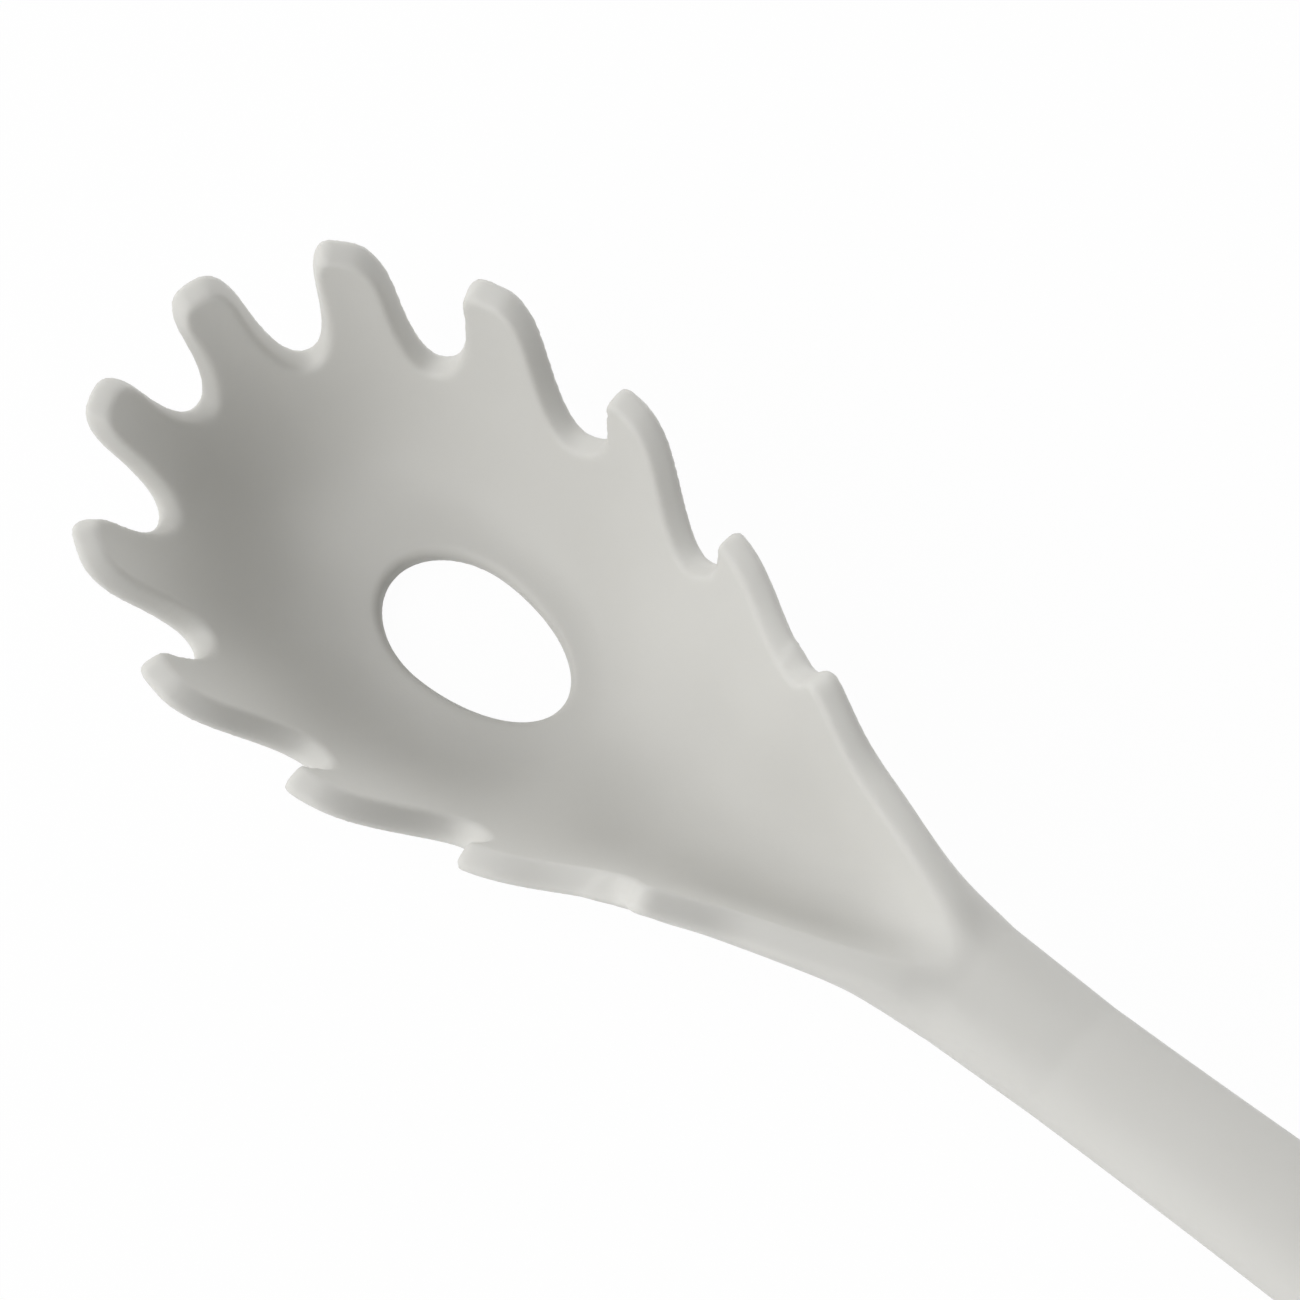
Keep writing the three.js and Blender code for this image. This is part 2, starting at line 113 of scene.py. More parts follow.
# Handle: straight, widening to a rounded end with a hole to hang it by and two pin holes underneath
HANDLE_START = 90.0
HANDLE_END = 276.0
HANDLE_UNDER_RIM = 0.7
HANDLE_SLOPE = 0.155
HANDLE_START_HALF_WIDTH = 7.2
HANDLE_END_HALF_WIDTH = 11.0
HANDLE_HALF_THICKNESS = 5.2
HANDLE_SQUARENESS = 2.2
HANDLE_KEEL_SQUARENESS = 3.4
HANDLE_END_ROUNDING = 14.0
HANDLE_END_BLUNTNESS = 1.2
HANG_HOLE_RADIUS = 4.5
HANG_HOLE_FROM_END = 14.0
STEM_HALF_THICKNESS = 1.2
PIN_HOLE_RADIUS = 1.5
PIN_HOLES = (125.0, 215.0)

# Soft edges. The inner edge of the rim grows softer along a run of the channel.
OUTER_EDGE_RADIUS = 1.5
INNER_EDGE_RADIUS = 0.6
CHANNEL_EDGE_RADIUS = 1.3
CHANNEL_EDGE_RUN = (56.0, 76.0)
# How much shorter the inner outline is than the outer one
EDGE_SLANT = 1.35
FLOOR_SOFTNESS = 2.0
HOLE_EDGE_RADIUS = 1.0
HANG_HOLE_EDGE_RADIUS = 1.2
PIN_HOLE_EDGE_RADIUS = 0.4
NECK_BLEND = 3.0

# How far the wall is carried over the inner face before it is cut back to it, and its edge radius there
WALL_OVER = 4.0
WALL_OVER_EDGE = 0.1

# Points of the curves, and the most of a side that the rounding of a corner takes up
RIM_STEPS = 24
CORNER_STEPS = 8
DRAIN_STEPS = 120
NECK_STEPS = 12
HANDLE_STEPS = 25
MOST_ROUNDED = 0.48

# Search for the nearest place on the inner face: its rounds, and how far under and over the face it follows
FOOT_ROUNDS = 4
FOOT_REACH = (-8, 6)

# Grid over the body, and the blocks of it that the scoop and the handle fill
CELL = 0.5
GRID_LOW = (-50.0, -34.25, -6.0)
GRID_SIZE = (330.0, 68.5, 70.0)
SCOOP_REACH = 34.25
SCOOP_HEIGHTS = (-6.0, 34.0)
HANDLE_REACH = 13.5
HANDLE_HEIGHTS = (14.0, 63.0)
# Cells by which each block runs past their seam, and the distance given to cells outside both
SEAM_CELLS = 4
OUTSIDE = 5.0

# Evening out of the mesh: rounds, and the share of the way to the middle of the neighbours
RELAX_ROUNDS = 4
RELAX_SHARE = 0.5
# Moves that put it back on the surface, and the longest of them
RETURN_MOVES = 2
MOST_MOVE = 0.6 * CELL
# Least slopes to divide by
LEAST_SHAPE_SLOPE = 0.02
LEAST_FIELD_SLOPE = 0.1

# Materials: tones, scale and detail of clouds, scale of grain, roughness range, strength and depth of relief
SILICONE_TONES = ((0.584, 0.578, 0.550), (0.608, 0.602, 0.574))
SILICONE_CLOUDS = (60.0, 3.0)
SILICONE_GRAIN = 2600.0
SILICONE_ROUGHNESS = (0.50, 0.62)
SILICONE_RELIEF = (0.12, 0.00008)
NYLON_TONES = ((0.38, 0.375, 0.345), (0.42, 0.415, 0.385))
NYLON_CLOUDS = (120.0, 4.0)
NYLON_GRAIN = 1800.0
NYLON_ROUGHNESS = (0.42, 0.55)
NYLON_RELIEF = (0.1, 0.0001)
GRAIN_DETAIL = 2.0
STEEL_TONES = ((0.50, 0.50, 0.51), (0.62, 0.62, 0.63))
STEEL_STRETCH = (12.0, 900.0, 900.0)
STEEL_STREAKS = (1.0, 4.0)
STEEL_ROUGHNESS = (0.28, 0.42)
STEEL_RELIEF = (0.08, 0.00005)

# Camera: focal length in pixels of the picture, and its turn and place
PICTURE = 1300.0
FOCAL = 5000.0
SENSOR_WIDTH = 36.0
CLIP = (0.01, 50.0)
MM_PER_PIXEL = 0.1156
TILT, YAW, ROLL = (math.radians(a) for a in (17.55, -8.6, 37.4))
HOLE_PIXEL = (476.1, 639.3)

# Studio, in metres. The floor lies just under the part, and its glow is what the camera sees of it.
FLOOR_LEVEL = -0.0004
FLOOR_HALF = 2.5
FLOOR_TONE = (0.82, 0.82, 0.82)
FLOOR_ROUGHNESS = 0.9
FLOOR_GLOW = 0.97
FILL_COLOR = (1.0, 1.0, 1.0)
FILL_STRENGTH = 0.127
LAMP_DISTANCE = 1.2
LAMP_SIZE = 0.7
LAMP_COLOR = (1.0, 1.0, 1.0)

# Lamps: name, heading and height over the floor in degrees, power in watts
LAMPS = [
    ("key_high", 240, 62, 3.4),
    ("key_left", 225, 35, 3.4),
    ("key_front", 270, 35, 3.75),
    ("high_left", 180, 62, 2.1),
    ("top", 0, 88, 0.3),
    ("back_left", 135, 35, 0.7),
    ("low_right", 0, 12, 2.3),
    ("low_back_right", 45, 12, 1.5),
    ("low_back", 90, 12, 3.7),
    ("low_back_left", 135, 12, 3.4),
    ("low_left", 180, 12, 3.0),
    ("low_front", 270, 12, 2.1),
]


def mirrored(points):
    return [(x, -y) for x, y in points]


def catmull(points, steps):
    """Closed centripetal curve through points."""
    p = np.asarray(points, float)
    n = len(p)
    out = []
    for i in range(n):
        p0, p1, p2, p3 = (p[(i + k) % n] for k in (-1, 0, 1, 2))
        t1 = np.linalg.norm(p1 - p0) ** 0.5
        t2 = t1 + np.linalg.norm(p2 - p1) ** 0.5
        t3 = t2 + np.linalg.norm(p3 - p2) ** 0.5
        t = np.linspace(t1, t2, steps, endpoint=False)[:, None]
        a1 = (t1 - t) / t1 * p0 + t / t1 * p1
        a2 = (t2 - t) / (t2 - t1) * p1 + (t - t1) / (t2 - t1) * p2
        a3 = (t3 - t) / (t3 - t2) * p2 + (t - t2) / (t3 - t2) * p3
        b1 = (t2 - t) / t2 * a1 + t / t2 * a2
        b2 = (t3 - t) / (t3 - t1) * a2 + (t - t1) / (t3 - t1) * a3
        out.append((t2 - t) / (t2 - t1) * b1 + (t - t1) / (t2 - t1) * b2)
    return np.concatenate(out)


rim = catmull(RIM_POINTS + mirrored(RIM_POINTS[-2:0:-1]), RIM_STEPS)
rim_angle = np.arctan2(rim[:, 1], rim[:, 0])
order = np.argsort(rim_angle)
rim_angle = rim_angle[order]
rim_reach = np.hypot(rim[order, 0], rim[order, 1])


def bowl_height(x, y):
    """Height of the round bowl's inner face over its floor."""
    angle = np.arctan2(y, x)
    c, s = np.cos(angle), np.sin(angle)
    floor = 1 / np.hypot(c / np.where(c < 0, FLOOR_TO_TIP, FLOOR_TO_NECK), s / FLOOR_HALF_WIDTH)
    reach = np.interp(angle, rim_angle, rim_reach, period=2 * np.pi)
    share = np.maximum(0, (np.hypot(x, y) - floor) / (reach - floor))
    top = RIM_HEIGHT + RIM_SLOPE * np.maximum(0, reach * c - RIM_SLOPE_START)
    curve = (WALL_CURVE_SIDE + (WALL_CURVE_TIP - WALL_CURVE_SIDE) * np.maximum(0, -c) ** 2
             + (WALL_CURVE_NECK - WALL_CURVE_SIDE) * np.maximum(0, c) ** 3)
    return top * share ** curve


def inner_height(x, y):
    """Height of the inner face: the bowl, running out into the channel in the neck."""
    place, valley, half = (np.array(column) for column in zip(*CHANNEL))
    floor = np.interp(x, place, valley)
    top = np.maximum(floor, RIM_HEIGHT + RIM_SLOPE * np.maximum(0, x - RIM_SLOPE_START))
    channel = floor + (top - floor) * (np.abs(y) / np.interp(x, place, half)) ** CHANNEL_CURVE
    share = np.clip((x - CHANNEL_START) / (CHANNEL_FULL - CHANNEL_START), 0, 1)
    share = share * share * (3 - 2 * share)
    return (1 - share) * bowl_height(x, y) + share * channel


class Sheet:
    """Values on a fine level grid over the scoop, read between its points."""

    step = 0.2
    low = np.array([-60.0, -42.0])
    count = (800, 421)

    def __init__(self, function, softness=0.0):
        x = self.low[0] + self.step * np.arange(self.count[0])
        y = self.low[1] + self.step * np.arange(self.count[1])
        self.values = function(*np.meshgrid(x, y, indexing="ij"))
        if softness:
            along, across = (np.exp(-0.5 * ((a[:, None] - a) / softness) ** 2) for a in (x, y))
            along /= along.sum(1, keepdims=True)
            across /= across.sum(1, keepdims=True)
            self.values = along @ self.values @ across.T

    def at(self, x, y):
        u = np.clip((x - self.low[0]) / self.step, 0, self.count[0] - 1.001)
        v = np.clip((y - self.low[1]) / self.step, 0, self.count[1] - 1.001)
        i, j = u.astype(int), v.astype(int)
        u, v = u - i, v - j
        f = self.values
        return ((f[i, j] * (1 - u) + f[i + 1, j] * u) * (1 - v)
                + (f[i, j + 1] * (1 - u) + f[i + 1, j + 1] * u) * v)

    def slope(self, axis):
        out = Sheet.__new__(Sheet)
        out.values = np.gradient(self.values, self.step, axis=axis)
        return out


def rounded_loop(corners):
    """Closed outline with a rounding at each corner, over less than half of the sides beside it."""
    out = []
    for i, (corner, rounding) in enumerate(corners):
        corner = np.array(corner)
        ends = []
        for other in (corners[i - 1][0], corners[(i + 1) % len(corners)][0]):
            run = np.array(other) - corner
            ends.append(corner + run * min(MOST_ROUNDED, rounding / np.linalg.norm(run)))
        for t in np.linspace(0, 1, CORNER_STEPS):
            out.append((1 - t) ** 2 * ends[0] + 2 * t * (1 - t) * corner + t * t * ends[1])
    return np.array(out)


def scoop_loop():
    """Outline of the scoop with its tines and the neck's edges, seen from above."""
    side = [corner for tine in TINES for corner in zip(tine, TINE_ROUNDINGS)]
    side += [(corner, NECK_SIDE_ROUNDING) for corner in NECK_SIDE]
    other = [((x, -y), rounding) for (x, y), rounding in side[:-1]]
    return rounded_loop(other + side[::-1])


def loop_distance(loop, x, y):
    """Distance to a closed outline, negative inside it."""
    best = np.full(x.shape, 1e9)
    inside = np.zeros(x.shape, bool)
    for (ax, ay), (bx, by) in zip(loop, np.roll(loop, -1, 0)):
        ex, ey = bx - ax, by - ay
        length = ex * ex + ey * ey
        if length < 1e-12:
            continue
        t = np.clip(((x - ax) * ex + (y - ay) * ey) / length, 0, 1)
        best = np.minimum(best, (x - ax - t * ex) ** 2 + (y - ay - t * ey) ** 2)
        crosses = (ay > y) != (by > y)
        if ey:
            inside ^= crosses & (x < ax + (y - ay) * ex / ey)
    return np.where(inside, -1, 1) * np.sqrt(best)


def drain_distance(x, y):
    """Distance to the edge of the drain hole, negative outside the hole."""
    turn = np.linspace(0, 2 * np.pi, DRAIN_STEPS + 1)[:-1]
    length = np.where(np.cos(turn) < 0, DRAIN_TO_TIP, DRAIN_TO_NECK)
    egg = np.stack([DRAIN_CENTRE + length * np.cos(turn), DRAIN_HALF_WIDTH * np.sin(turn)], 1)
    return -loop_distance(egg, x, y)


def round_both(a, b, radius):
    """Where both a and b are inside, with the edge between them rounded."""
    corner = np.hypot(np.maximum(a + radius, 0), np.maximum(b + radius, 0))
    return np.minimum(np.maximum(a, b), -radius) + corner


def blend_either(a, b, width):
    """Where a or b is inside, with a soft joint."""
    t = np.clip(0.5 + 0.5 * (b - a) / width, 0, 1)
    return b + (a - b) * t - width * t * (1 - t)


height = Sheet(inner_height, FLOOR_SOFTNESS)
height_x, height_y = height.slope(0), height.slope(1)
outline = Sheet(lambda x, y: loop_distance(scoop_loop(), x, y))
outline_x, outline_y = outline.slope(0), outline.slope(1)
drain = Sheet(drain_distance)


def wall_distances(x, y, z):
    """Distance over the inner face, and along it to the outline and to the drain hole."""
    px, py = x, y
    for _ in range(FOOT_ROUNDS):
        gx, gy = height_x.at(px, py), height_y.at(px, py)
        scale = 1 / np.sqrt(1 + gx * gx + gy * gy)
        nx, ny = -gx * scale, -gy * scale
        over = (x - px) * nx + (y - py) * ny + (z - height.at(px, py)) * scale
        reach = np.clip(over, *FOOT_REACH)
        px, py = x - reach * nx, y - reach * ny
    ox, oy = outline_x.at(px, py), outline_y.at(px, py)
    steep = np.sqrt(1 + (gx * ox + gy * oy) ** 2)
    return over, outline.at(px, py) * steep, drain.at(px, py)


def handle_level(x):
    """Height of the middle line of the handle."""
    return RIM_HEIGHT - HANDLE_UNDER_RIM + HANDLE_SLOPE * (x - HANDLE_START)


def bar_sections():
    """Fine run of sections from the neck to the end of the handle, as columns of values."""
    rows = []
    given = np.array(NECK)
    last = len(given) - 1
    for i in range(last):
        p, q, r, s = (given[min(last, max(0, i + k))] for k in (-1, 0, 1, 2))
        for t in np.linspace(0, 1, NECK_STEPS, endpoint=False):
            bend = 2 * p - 5 * q + 4 * r - s + t * (3 * (q - r) + s - p)
            rows.append(q + 0.5 * t * (r - p + t * bend))
    rows.append(given[last])
    straight = HANDLE_END - HANDLE_END_ROUNDING
    for share in np.linspace(0, 1, HANDLE_STEPS):
        x = HANDLE_START + (straight - HANDLE_START) * share
        smooth = share * share * (3 - 2 * share)
        under = RIM_HEIGHT - handle_level(x)
        rows.append(np.array([
            x, HANDLE_START_HALF_WIDTH + (HANDLE_END_HALF_WIDTH - HANDLE_START_HALF_WIDTH) * smooth,
            under, under - HANDLE_HALF_THICKNESS, under + HANDLE_HALF_THICKNESS,
            HANDLE_SQUARENESS + (HANDLE_KEEL_SQUARENESS - HANDLE_SQUARENESS) * smooth]))
    return np.array(rows)


sections = bar_sections()


def bar_shape(x, y, z):
    """How far outside the neck and handle a point lies, as a share of their half thickness."""
    places, columns = sections[:, 0], sections[:, 1:].T
    half, middle, top, keel, square = (np.interp(x, places, column) for column in columns)
    straight = HANDLE_END - HANDLE_END_ROUNDING
    past = np.maximum(0, x - straight) / HANDLE_END_ROUNDING
    level = np.where(x > straight, handle_level(x), RIM_HEIGHT - middle)
    rise = z - level
    reach = np.where(rise > 0, middle - top, keel - middle)
    power = np.where(rise > 0, HANDLE_SQUARENESS, square) + HANDLE_END_BLUNTNESS * np.minimum(past, 1)
    side = np.hypot(np.abs(y) / half, past)
    shape = (side ** power + (np.abs(rise) / reach) ** power) ** (1 / power)
    return shape - 1


def along_handle(x, z, place):
    """Distances along the handle from a place on its middle line, and square to it."""
    tilt = math.atan(HANDLE_SLOPE)
    run = (x - place) * math.cos(tilt) + (z - handle_level(place)) * math.sin(tilt)
    rise = (z - handle_level(place)) * math.cos(tilt) - (x - place) * math.sin(tilt)
    return run, rise


def body_field(x, y, z, scoop):
    """Signed distance to the silicone body at the points of a grid, over the scoop or along the handle."""
    shape = bar_shape(x, y, z)
    slope = np.sqrt(sum(g * g for g in np.gradient(shape, CELL)))
    bar = np.maximum(shape / np.maximum(slope, LEAST_SHAPE_SLOPE), sections[0, 0] - x)
    if scoop:
        over, along, hole = wall_distances(x, y, z)
        along = along + EDGE_SLANT * np.clip(1 + over / WALL, 0, 1)
        plate = round_both(along, -(over + WALL), OUTER_EDGE_RADIUS)
        plate = round_both(plate, over - WALL_OVER, WALL_OVER_EDGE)
        field = blend_either(plate, bar, NECK_BLEND)
        soft = np.interp(x, CHANNEL_EDGE_RUN, (INNER_EDGE_RADIUS, CHANNEL_EDGE_RADIUS))
        field = round_both(field, over, soft)
        return round_both(field, hole, HOLE_EDGE_RADIUS)
    run, _ = along_handle(x, z, HANDLE_END - HANG_HOLE_FROM_END)
    field = round_both(bar, HANG_HOLE_RADIUS - np.hypot(run, y), HANG_HOLE_EDGE_RADIUS)
    for place in PIN_HOLES:
        run, rise = along_handle(x, z, place)
        roof = rise + STEM_HALF_THICKNESS - PIN_HOLE_EDGE_RADIUS
        shaft = np.maximum(np.hypot(run, y) - PIN_HOLE_RADIUS, roof)
        field = round_both(field, -shaft, PIN_HOLE_EDGE_RADIUS)
    return field


def grid_field():
    """Signed distance on one grid over the whole body, and the grid's lowest point."""
    low = np.array(GRID_LOW)
    count = [int(v / CELL) for v in GRID_SIZE]
    axes = [low[k] + CELL * np.arange(count[k]) for k in range(3)]
    field = np.full(count, OUTSIDE, np.float32)
    seam = int((HANDLE_START - low[0]) / CELL)
    for scoop, x_range, y_reach, z_range in (
            (True, (0, seam + SEAM_CELLS), SCOOP_REACH, SCOOP_HEIGHTS),
            (False, (seam - SEAM_CELLS, count[0]), HANDLE_REACH, HANDLE_HEIGHTS)):
        xs = slice(*x_range)
        ys = slice(*(np.searchsorted(axes[1], (-y_reach, y_reach))))
        zs = slice(*(np.searchsorted(axes[2], z_range)))
        x, y, z = np.meshgrid(axes[0][xs], axes[1][ys], axes[2][zs], indexing="ij")
        part = body_field(x, y, z, scoop)
        if scoop:
            field[:seam, ys, zs] = part[:-SEAM_CELLS]
        else:
            field[seam:, ys, zs] = part[SEAM_CELLS:]
    return field, low


def read_field(field, low, points):
    """Field between the points of its grid."""
    at = (points - low) / CELL
    cell = np.clip(np.floor(at).astype(int), 0, np.array(field.shape) - 2)
    f = at - cell
    i, j, k = cell.T
    u, v, w = f.T
    total = 0
    for a, wa in ((0, 1 - u), (1, u)):
        for b, wb in ((0, 1 - v), (1, v)):
            for c, wc in ((0, 1 - w), (1, w)):
                total = total + field[i + a, j + b, k + c] * wa * wb * wc
    return total


def field_slope(field, low, points):
    """Slope of the field at points."""
    step = 0.5 * CELL
    out = np.empty_like(points)
    for k in range(3):
        shift = np.zeros(3)
        shift[k] = step
        ahead, behind = (read_field(field, low, points + way * shift) for way in (1, -1))
        out[:, k] = (ahead - behind) / (2 * step)
    return out


def surface(field, low):
    """Quads on the zero level of the field: one vertex in each cell that it passes through."""
    inside = field < 0
    corners = [(a, b, c) for a in (0, 1) for b in (0, 1) for c in (0, 1)]
    nx, ny, nz = (n - 1 for n in field.shape)
    count = np.zeros((nx, ny, nz), np.int8)
    for a, b, c in corners:
        count += inside[a:a + nx, b:b + ny, c:c + nz]
    cells = np.argwhere((count > 0) & (count < 8))
    number = np.full((nx, ny, nz), -1, np.int32)
    number[tuple(cells.T)] = np.arange(len(cells))
    total = np.zeros((len(cells), 3))
    crossings = np.zeros(len(cells))
    for a in corners:
        for axis in range(3):
            if a[axis]:
                continue
            b = list(a)
            b[axis] = 1
            fa = field[tuple((cells + a).T)]
            fb = field[tuple((cells + b).T)]
            cross = (fa < 0) != (fb < 0)
            t = np.where(cross, fa / np.where(cross, fa - fb, 1), 0)
            point = np.array(a) + t[:, None] * (np.array(b) - np.array(a))
            total += point * cross[:, None]
            crossings += cross
    points = low + (cells + total / crossings[:, None]) * CELL
    quads = []
    for axis in range(3):
        other = [(axis + 1) % 3, (axis + 2) % 3]
        start = [slice(None)] * 3
        start[axis] = slice(0, -1)
        end = [slice(None)] * 3
        end[axis] = slice(1, None)
        change = inside[tuple(start)] != inside[tuple(end)]
        edge = np.argwhere(change)
        edge = edge[(edge[:, other[0]] > 0) & (edge[:, other[1]] > 0)]
        going_out = inside[tuple(edge.T)]
        ring = []
        for da, db in ((-1, -1), (0, -1), (0, 0), (-1, 0)):
            cell = edge.copy()
            cell[:, other[0]] += da
            cell[:, other[1]] += db
            ring.append(number[tuple(cell.T)])
        ring = np.stack(ring, 1)
        ring[~going_out] = ring[~going_out][:, ::-1]
        quads.append(ring)
    return points, np.concatenate(quads)


def relax(points, quads, field, low, rounds):
    """Evens out the quads and keeps them on the surface."""
    edges = np.unique(np.sort(np.concatenate(
        [quads[:, [k, (k + 1) % 4]] for k in range(4)]), axis=1), axis=0)
    degree = np.bincount(edges.ravel(), minlength=len(points))[:, None]
    for step in range(rounds):
        if step:
            around = np.zeros_like(points)
            np.add.at(around, edges[:, 0], points[edges[:, 1]])
            np.add.at(around, edges[:, 1], points[edges[:, 0]])
            points = points + RELAX_SHARE * (around / degree - points)
        for _ in range(RETURN_MOVES):
            slope = field_slope(field, low, points)
            value = read_field(field, low, points)
            move = value / np.maximum((slope * slope).sum(1), LEAST_FIELD_SLOPE)
            points = points - np.clip(move, -MOST_MOVE, MOST_MOVE)[:, None] * slope
    return points


def make_mesh(name, points, quads):
    mesh = bpy.data.meshes.new(name)
    mesh.vertices.add(len(points))
    mesh.vertices.foreach_set("co", np.ascontiguousarray(points, np.float32).ravel())
    mesh.loops.add(quads.size)
    mesh.loops.foreach_set("vertex_index", np.ascontiguousarray(quads, np.int32).ravel())
    mesh.polygons.add(len(quads))
    mesh.polygons.foreach_set("loop_start", np.arange(0, quads.size, 4, dtype=np.int32))
    mesh.polygons.foreach_set("loop_total", np.full(len(quads), 4, np.int32))
    mesh.update(calc_edges=True)
    mesh.validate()
    mesh.polygons.foreach_set("use_smooth", np.ones(len(mesh.polygons), bool))
    obj = bpy.data.objects.new(name, mesh)
    bpy.context.scene.collection.objects.link(obj)
    return obj


def new_material(name):
    material = bpy.data.materials.new(name)
    material.use_nodes = True
    nodes = material.node_tree.nodes
    return material, nodes, material.node_tree.links, nodes["Principled BSDF"]


def noise(nodes, links, source, scale, detail):
    node = nodes.new("ShaderNodeTexNoise")
    node.inputs["Scale"].default_value = scale
    node.inputs["Detail"].default_value = detail
    links.new(source, node.inputs["Vector"])
    return node.outputs["Fac"]


def ramp(nodes, links, factor, low, high):
    node = nodes.new("ShaderNodeMapRange")
    node.inputs["To Min"].default_value = low
    node.inputs["To Max"].default_value = high
    links.new(factor, node.inputs["Value"])
    return node.outputs["Result"]


def mix_colors(nodes, links, factor, low, high):
    node = nodes.new("ShaderNodeMix")
    node.data_type = "RGBA"
    node.inputs[6].default_value = (*low, 1)
    node.inputs[7].default_value = (*high, 1)
    links.new(factor, node.inputs[0])
    return node.outputs[2]


def bump(nodes, links, shader, factor, strength, distance):
    node = nodes.new("ShaderNodeBump")
    node.inputs["Strength"].default_value = strength
    node.inputs["Distance"].default_value = distance
    links.new(factor, node.inputs["Height"])
    links.new(node.outputs["Normal"], shader.inputs["Normal"])


def moulded_material(name, tones, clouds, grain_scale, roughness, relief):
    """Moulded surface with slow clouds of tone and a fine grain."""
    material, nodes, links, shader = new_material(name)
    place = nodes.new("ShaderNodeTexCoord").outputs["Object"]
    cloud = noise(nodes, links, place, *clouds)
    links.new(mix_colors(nodes, links, cloud, *tones), shader.inputs["Base Color"])
    grain = noise(nodes, links, place, grain_scale, GRAIN_DETAIL)
    links.new(ramp(nodes, links, grain, *roughness), shader.inputs["Roughness"])
    bump(nodes, links, shader, grain, *relief)
    return material, shader


def silicone_material():
    """Matte silicone that lets a little light through its thin edges."""
    material, shader = moulded_material("silicone", SILICONE_TONES, SILICONE_CLOUDS, SILICONE_GRAIN,
                                        SILICONE_ROUGHNESS, SILICONE_RELIEF)
    shader.inputs["Specular IOR Level"].default_value = 0.4
    shader.inputs["Subsurface Weight"].default_value = 0.15
    shader.inputs["Subsurface Radius"].default_value = (1.0, 0.95, 0.85)
    shader.inputs["Subsurface Scale"].default_value = 0.0015
    return material


def nylon_material():
    material, _ = moulded_material("core_nylon", NYLON_TONES, NYLON_CLOUDS, NYLON_GRAIN,
                                   NYLON_ROUGHNESS, NYLON_RELIEF)
    return material


def steel_material():
    """Steel strip with streaks along it."""
    material, nodes, links, shader = new_material("stem_steel")
    place = nodes.new("ShaderNodeTexCoord").outputs["Object"]
    stretch = nodes.new("ShaderNodeMapping")
    stretch.inputs["Scale"].default_value = STEEL_STRETCH
    links.new(place, stretch.inputs["Vector"])
    streak = noise(nodes, links, stretch.outputs["Vector"], *STEEL_STREAKS)
    links.new(mix_colors(nodes, links, streak, *STEEL_TONES), shader.inputs["Base Color"])
    links.new(ramp(nodes, links, streak, *STEEL_ROUGHNESS), shader.inputs["Roughness"])
    bump(nodes, links, shader, streak, *STEEL_RELIEF)
    shader.inputs["Metallic"].default_value = 1.0
    return material


def repaint(obj, material):
    obj.data.materials.clear()
    obj.data.materials.append(material)


def stage_material():
    """Pale floor that reads as white to the camera and keeps a soft shadow."""
    material, nodes, links, shader = new_material("floor")
    shader.inputs["Base Color"].default_value = (*FLOOR_TONE, 1)
    shader.inputs["Roughness"].default_value = FLOOR_ROUGHNESS
    shader.inputs["Specular IOR Level"].default_value = 0.0
    path = nodes.new("ShaderNodeLightPath")
    seen = nodes.new("ShaderNodeMath")
    seen.operation = "MAXIMUM"
    links.new(path.outputs["Is Camera Ray"], seen.inputs[0])
    links.new(path.outputs["Is Glossy Ray"], seen.inputs[1])
    either = nodes.new("ShaderNodeMath")
    either.operation = "MAXIMUM"
    links.new(seen.outputs[0], either.inputs[0])
    links.new(path.outputs["Is Transmission Ray"], either.inputs[1])
    glow = nodes.new("ShaderNodeEmission")
    glow.inputs["Color"].default_value = (1, 1, 1, 1)
    glow.inputs["Strength"].default_value = 1.0
    share = nodes.new("ShaderNodeMath")
    share.operation = "MULTIPLY"
    share.inputs[1].default_value = FLOOR_GLOW
    links.new(either.outputs[0], share.inputs[0])
    mix = nodes.new("ShaderNodeMixShader")
    links.new(share.outputs[0], mix.inputs[0])
    links.new(shader.outputs[0], mix.inputs[1])
    links.new(glow.outputs[0], mix.inputs[2])
    links.new(mix.outputs[0], nodes["Material Output"].inputs["Surface"])
    return material


def make_stage():
    mesh = bpy.data.meshes.new("floor")
    signs = ((-1, -1), (1, -1), (1, 1), (-1, 1))
    corners = [(FLOOR_HALF * x, FLOOR_HALF * y, FLOOR_LEVEL) for x, y in signs]
    mesh.from_pydata(corners, [], [(0, 1, 2, 3)])
    floor = bpy.data.objects.new("floor", mesh)
    bpy.context.scene.collection.objects.link(floor)
    mesh.materials.append(stage_material())


def make_world():
    world = bpy.data.worlds.new("studio")
    bpy.context.scene.world = world
    world.use_nodes = True
    nodes, links = world.node_tree.nodes, world.node_tree.links
    fill = nodes["Background"]
    fill.inputs["Color"].default_value = (*FILL_COLOR, 1)
    fill.inputs["Strength"].default_value = FILL_STRENGTH
    white = nodes.new("ShaderNodeBackground")
    white.inputs["Color"].default_value = (1, 1, 1, 1)
    white.inputs["Strength"].default_value = 1.0
    path = nodes.new("ShaderNodeLightPath")
    mix = nodes.new("ShaderNodeMixShader")
    links.new(path.outputs["Is Camera Ray"], mix.inputs[0])
    links.new(fill.outputs[0], mix.inputs[1])
    links.new(white.outputs[0], mix.inputs[2])
    links.new(mix.outputs[0], nodes["World Output"].inputs["Surface"])


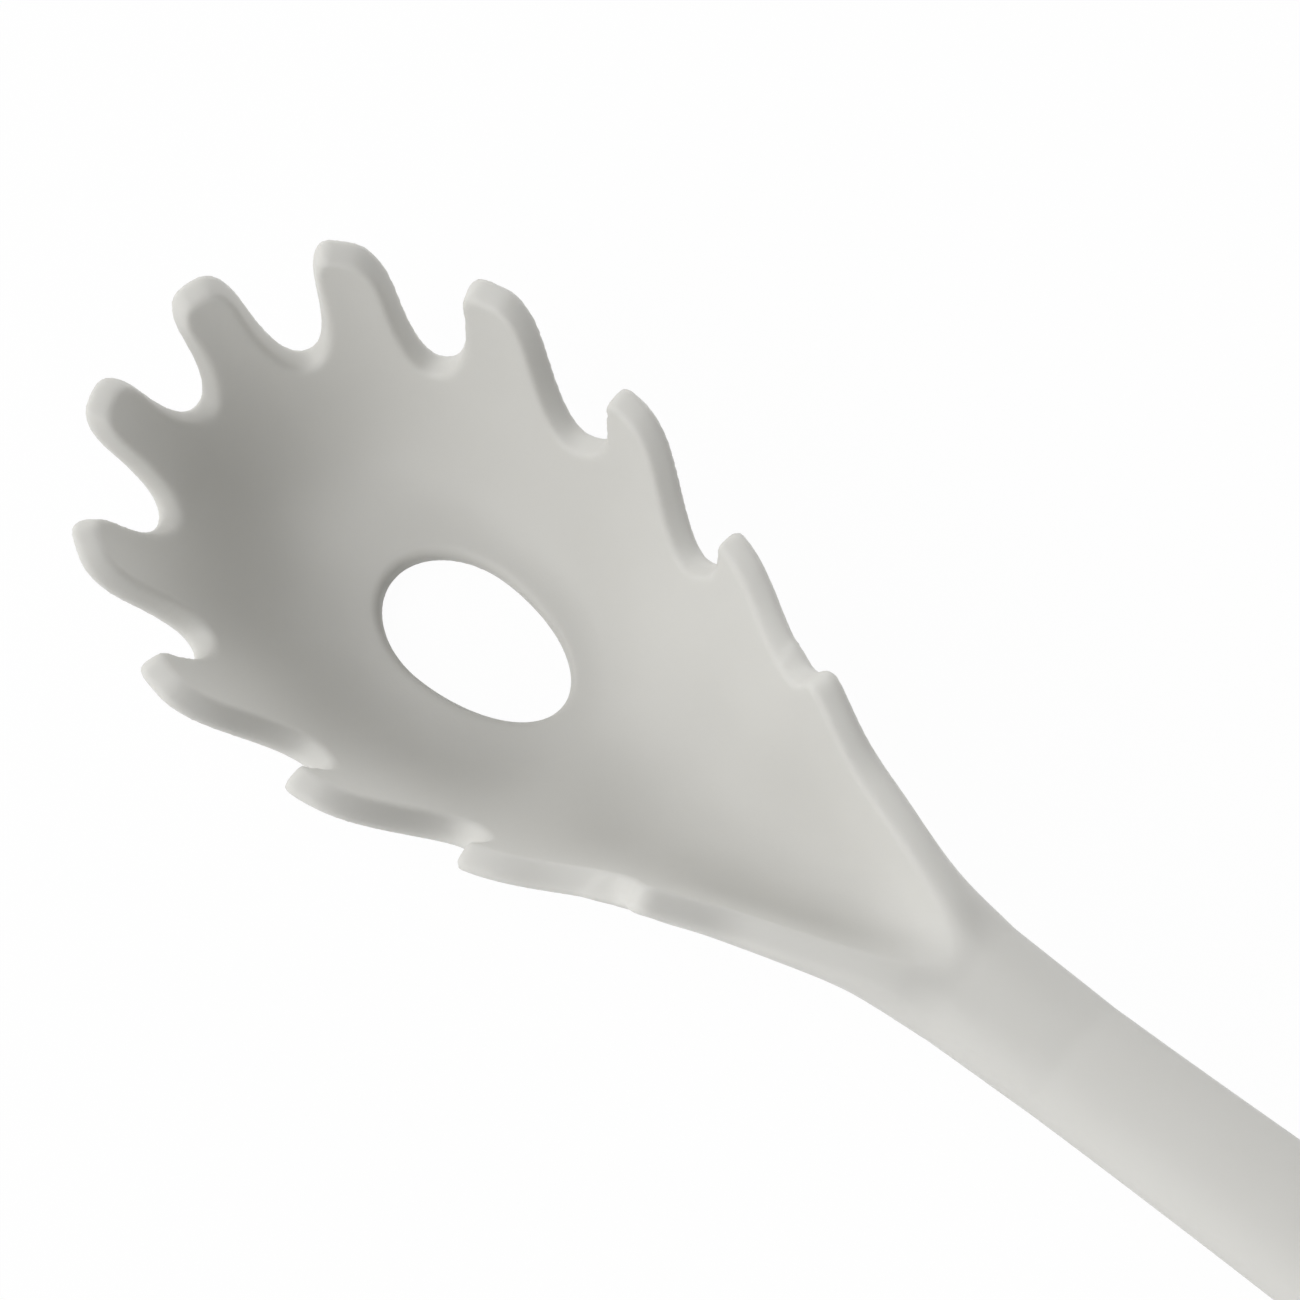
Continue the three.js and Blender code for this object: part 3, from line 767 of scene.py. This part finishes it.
def make_lamp(name, heading, rise, power):
    """Soft round lamp that faces the scoop."""
    heading, rise = math.radians(heading), math.radians(rise)
    level = math.cos(rise)
    towards = np.array((level * math.cos(heading), level * math.sin(heading), math.sin(rise)))
    lamp = bpy.data.lights.new(name, "AREA")
    lamp.shape = "DISK"
    lamp.size = LAMP_SIZE
    lamp.energy = power
    lamp.color = LAMP_COLOR
    obj = bpy.data.objects.new(name, lamp)
    bpy.context.scene.collection.objects.link(obj)
    obj.location = shift / 1000 + LAMP_DISTANCE * towards
    obj.rotation_mode = "QUATERNION"
    obj.rotation_quaternion = Vector(towards).to_track_quat("Z", "Y")


def make_camera():
    """Camera of the picture: turn from tilt, yaw and roll, place from the pixel of the scoop's middle."""
    back = np.array([math.sin(TILT) * math.cos(YAW), math.sin(YAW), math.cos(TILT) * math.cos(YAW)])
    along = np.array([1.0, 0, 0]) - back * back[0]
    along /= np.linalg.norm(along)
    across = np.cross(back, along)
    right = math.cos(ROLL) * along + math.sin(ROLL) * across
    down = np.cross(-back, right)
    centre = PICTURE / 2
    offset = np.array([(HOLE_PIXEL[0] - centre) * MM_PER_PIXEL, (HOLE_PIXEL[1] - centre) * MM_PER_PIXEL,
                       FOCAL * MM_PER_PIXEL])
    place = (-(offset[0] * right + offset[1] * down - offset[2] * back) + shift) / 1000
    data = bpy.data.cameras.new("camera")
    data.sensor_width = SENSOR_WIDTH
    data.lens = FOCAL / PICTURE * SENSOR_WIDTH
    data.clip_start, data.clip_end = CLIP
    camera = bpy.data.objects.new("camera", data)
    bpy.context.scene.collection.objects.link(camera)
    axes = Matrix(np.stack([right, -down, back], 1).tolist())
    camera.matrix_world = Matrix.Translation(place) @ axes.to_4x4()
    bpy.context.scene.camera = camera


# Place of the scoop's middle in the frame of the CAD, in millimetres
shift = np.array([cad_box[1][0] * 1000 - HANDLE_END, 0.0, WALL])

field, low = grid_field()
points, quads = surface(field, low)
points = relax(points, quads, field, low, RELAX_ROUNDS)
body = make_mesh("silicone_body_soft", (points + shift) / 1000, quads)
body.data.materials.append(silicone_material())
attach(body, "root")
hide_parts("silicone_body")

repaint(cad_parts["scoop_core"], nylon_material())
repaint(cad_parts["handle_stem"], steel_material())

make_stage()
make_world()
for lamp in LAMPS:
    make_lamp(*lamp)
make_camera()
bpy.context.scene.view_settings.view_transform = "Standard"
